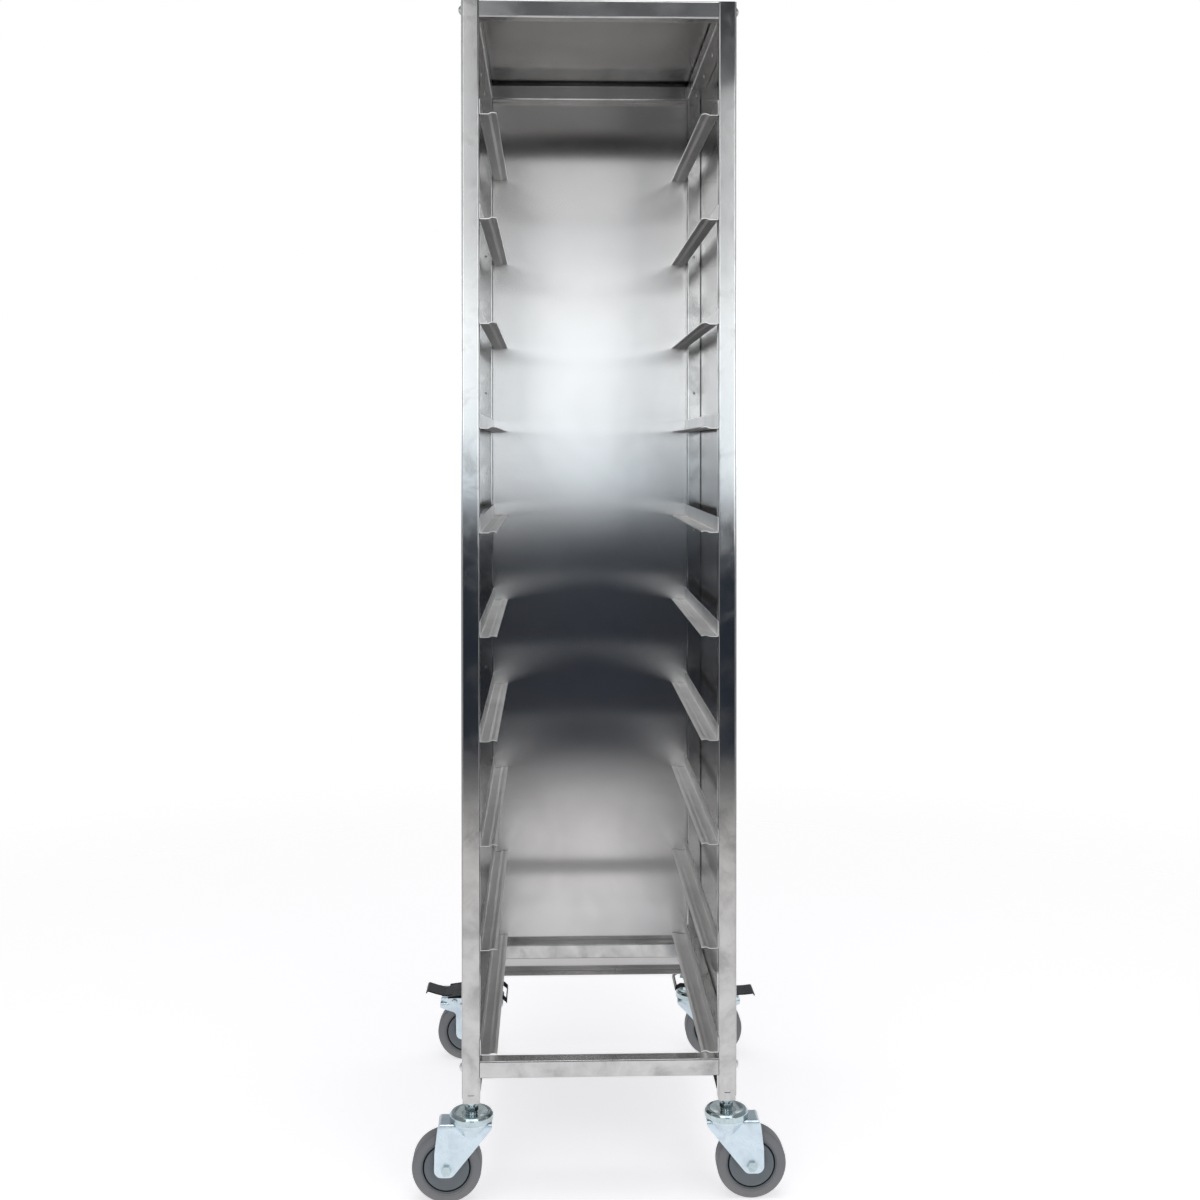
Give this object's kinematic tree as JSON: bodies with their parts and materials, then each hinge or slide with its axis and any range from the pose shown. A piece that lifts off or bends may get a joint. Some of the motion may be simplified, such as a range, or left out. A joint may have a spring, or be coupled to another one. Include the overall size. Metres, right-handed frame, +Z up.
{
  "type": "sheet pan rack",
  "caption": "Tall enclosed sheet pan rack on swivel casters, with an open front, folded slides on both sides and brake pedals at the rear.",
  "frame": {"origin": "on the floor, midway between the four posts", "axes": "+Z up, -Y towards the open front, +X to the right seen from the front"},
  "size_m": [0.577, 0.5933, 1.73],
  "materials": {
    "frame_tube": "satin polished stainless tube",
    "panel_sheet": "smooth stainless sheet",
    "slide_sheet": "folded stainless sheet",
    "bright_steel": "polished stainless fasteners",
    "zinc_plate": "bright zinc plate with a blue tint",
    "tyre_rubber": "grey non-marking rubber",
    "hub_plastic": "moulded grey plastic",
    "pedal_black": "black coated pedal"
  },
  "bodies": {
    "rack_frame": {"front_bottom_bar": "frame_tube", "front_top_bar": "frame_tube", "rear_bottom_bar": "frame_tube", "rear_top_bar": "frame_tube", "left_bottom_rail": "frame_tube", "left_top_rail": "frame_tube", "left_slide_01": "slide_sheet", "left_slide_02": "slide_sheet", "left_slide_03": "slide_sheet", "left_slide_04": "slide_sheet", "left_slide_05": "slide_sheet", "left_slide_06": "slide_sheet", "left_slide_07": "slide_sheet", "left_slide_08": "slide_sheet", "left_slide_09": "slide_sheet", "left_slide_10": "slide_sheet", "left_panel": "panel_sheet", "right_bottom_rail": "frame_tube", "right_top_rail": "frame_tube", "right_slide_01": "slide_sheet", "right_slide_02": "slide_sheet", "right_slide_03": "slide_sheet", "right_slide_04": "slide_sheet", "right_slide_05": "slide_sheet", "right_slide_06": "slide_sheet", "right_slide_07": "slide_sheet", "right_slide_08": "slide_sheet", "right_slide_09": "slide_sheet", "right_slide_10": "slide_sheet", "right_panel": "panel_sheet", "back_panel": "panel_sheet", "top_panel": "panel_sheet", "crossbar_bolts": "bright_steel", "panel_screws": "bright_steel", "front_left_post": "frame_tube", "front_left_stem": "zinc_plate", "front_right_post": "frame_tube", "front_right_stem": "zinc_plate", "rear_left_post": "frame_tube", "rear_left_stem": "zinc_plate", "rear_right_post": "frame_tube", "rear_right_stem": "zinc_plate"},
    "front_left_swivel": {"front_left_fork": "zinc_plate", "front_left_axle": "zinc_plate"},
    "front_left_wheel": {"front_left_hub": "hub_plastic", "front_left_tyre": "tyre_rubber"},
    "front_right_swivel": {"front_right_fork": "zinc_plate", "front_right_axle": "zinc_plate"},
    "front_right_wheel": {"front_right_hub": "hub_plastic", "front_right_tyre": "tyre_rubber"},
    "rear_left_swivel": {"rear_left_fork": "zinc_plate", "rear_left_axle": "zinc_plate"},
    "rear_left_wheel": {"rear_left_hub": "hub_plastic", "rear_left_tyre": "tyre_rubber"},
    "rear_right_swivel": {"rear_right_fork": "zinc_plate", "rear_right_axle": "zinc_plate"},
    "rear_right_wheel": {"rear_right_hub": "hub_plastic", "rear_right_tyre": "tyre_rubber"},
    "rear_left_pedal": {"rear_left_brake_pedal": "pedal_black"},
    "rear_right_pedal": {"rear_right_brake_pedal": "pedal_black"}
  },
  "joints": [
    {"name": "front_left_swivel_turn", "type": "hinge", "parent": "rack_frame", "child": "front_left_swivel", "pos_m": [-0.1845, -0.2625, 0.11], "axis": [0, 0, 1], "continuous": true},
    {"name": "front_left_wheel_roll", "type": "hinge", "parent": "front_left_swivel", "child": "front_left_wheel", "pos_m": [-0.2195, -0.2625, 0.05], "axis": [0, 1, 0], "continuous": true},
    {"name": "front_right_swivel_turn", "type": "hinge", "parent": "rack_frame", "child": "front_right_swivel", "pos_m": [0.1845, -0.2625, 0.11], "axis": [0, 0, 1], "continuous": true},
    {"name": "front_right_wheel_roll", "type": "hinge", "parent": "front_right_swivel", "child": "front_right_wheel", "pos_m": [0.2195, -0.2625, 0.05], "axis": [0, 1, 0], "continuous": true},
    {"name": "rear_left_swivel_turn", "type": "hinge", "parent": "rack_frame", "child": "rear_left_swivel", "pos_m": [-0.1845, 0.2625, 0.11], "axis": [0, 0, 1], "continuous": true},
    {"name": "rear_left_wheel_roll", "type": "hinge", "parent": "rear_left_swivel", "child": "rear_left_wheel", "pos_m": [-0.2195, 0.2625, 0.05], "axis": [0, 1, 0], "continuous": true},
    {"name": "rear_right_swivel_turn", "type": "hinge", "parent": "rack_frame", "child": "rear_right_swivel", "pos_m": [0.1845, 0.2625, 0.11], "axis": [0, 0, 1], "continuous": true},
    {"name": "rear_right_wheel_roll", "type": "hinge", "parent": "rear_right_swivel", "child": "rear_right_wheel", "pos_m": [0.2195, 0.2625, 0.05], "axis": [0, 1, 0], "continuous": true},
    {"name": "rear_left_pedal_press", "type": "hinge", "parent": "rear_left_swivel", "child": "rear_left_pedal", "pos_m": [-0.2395, 0.2625, 0.109], "axis": [0, -1, 0], "range_deg": [0, 12]},
    {"name": "rear_right_pedal_lift", "type": "hinge", "parent": "rear_right_swivel", "child": "rear_right_pedal", "pos_m": [0.2395, 0.2625, 0.109], "axis": [0, -1, 0], "range_deg": [0, 12]}
  ]
}
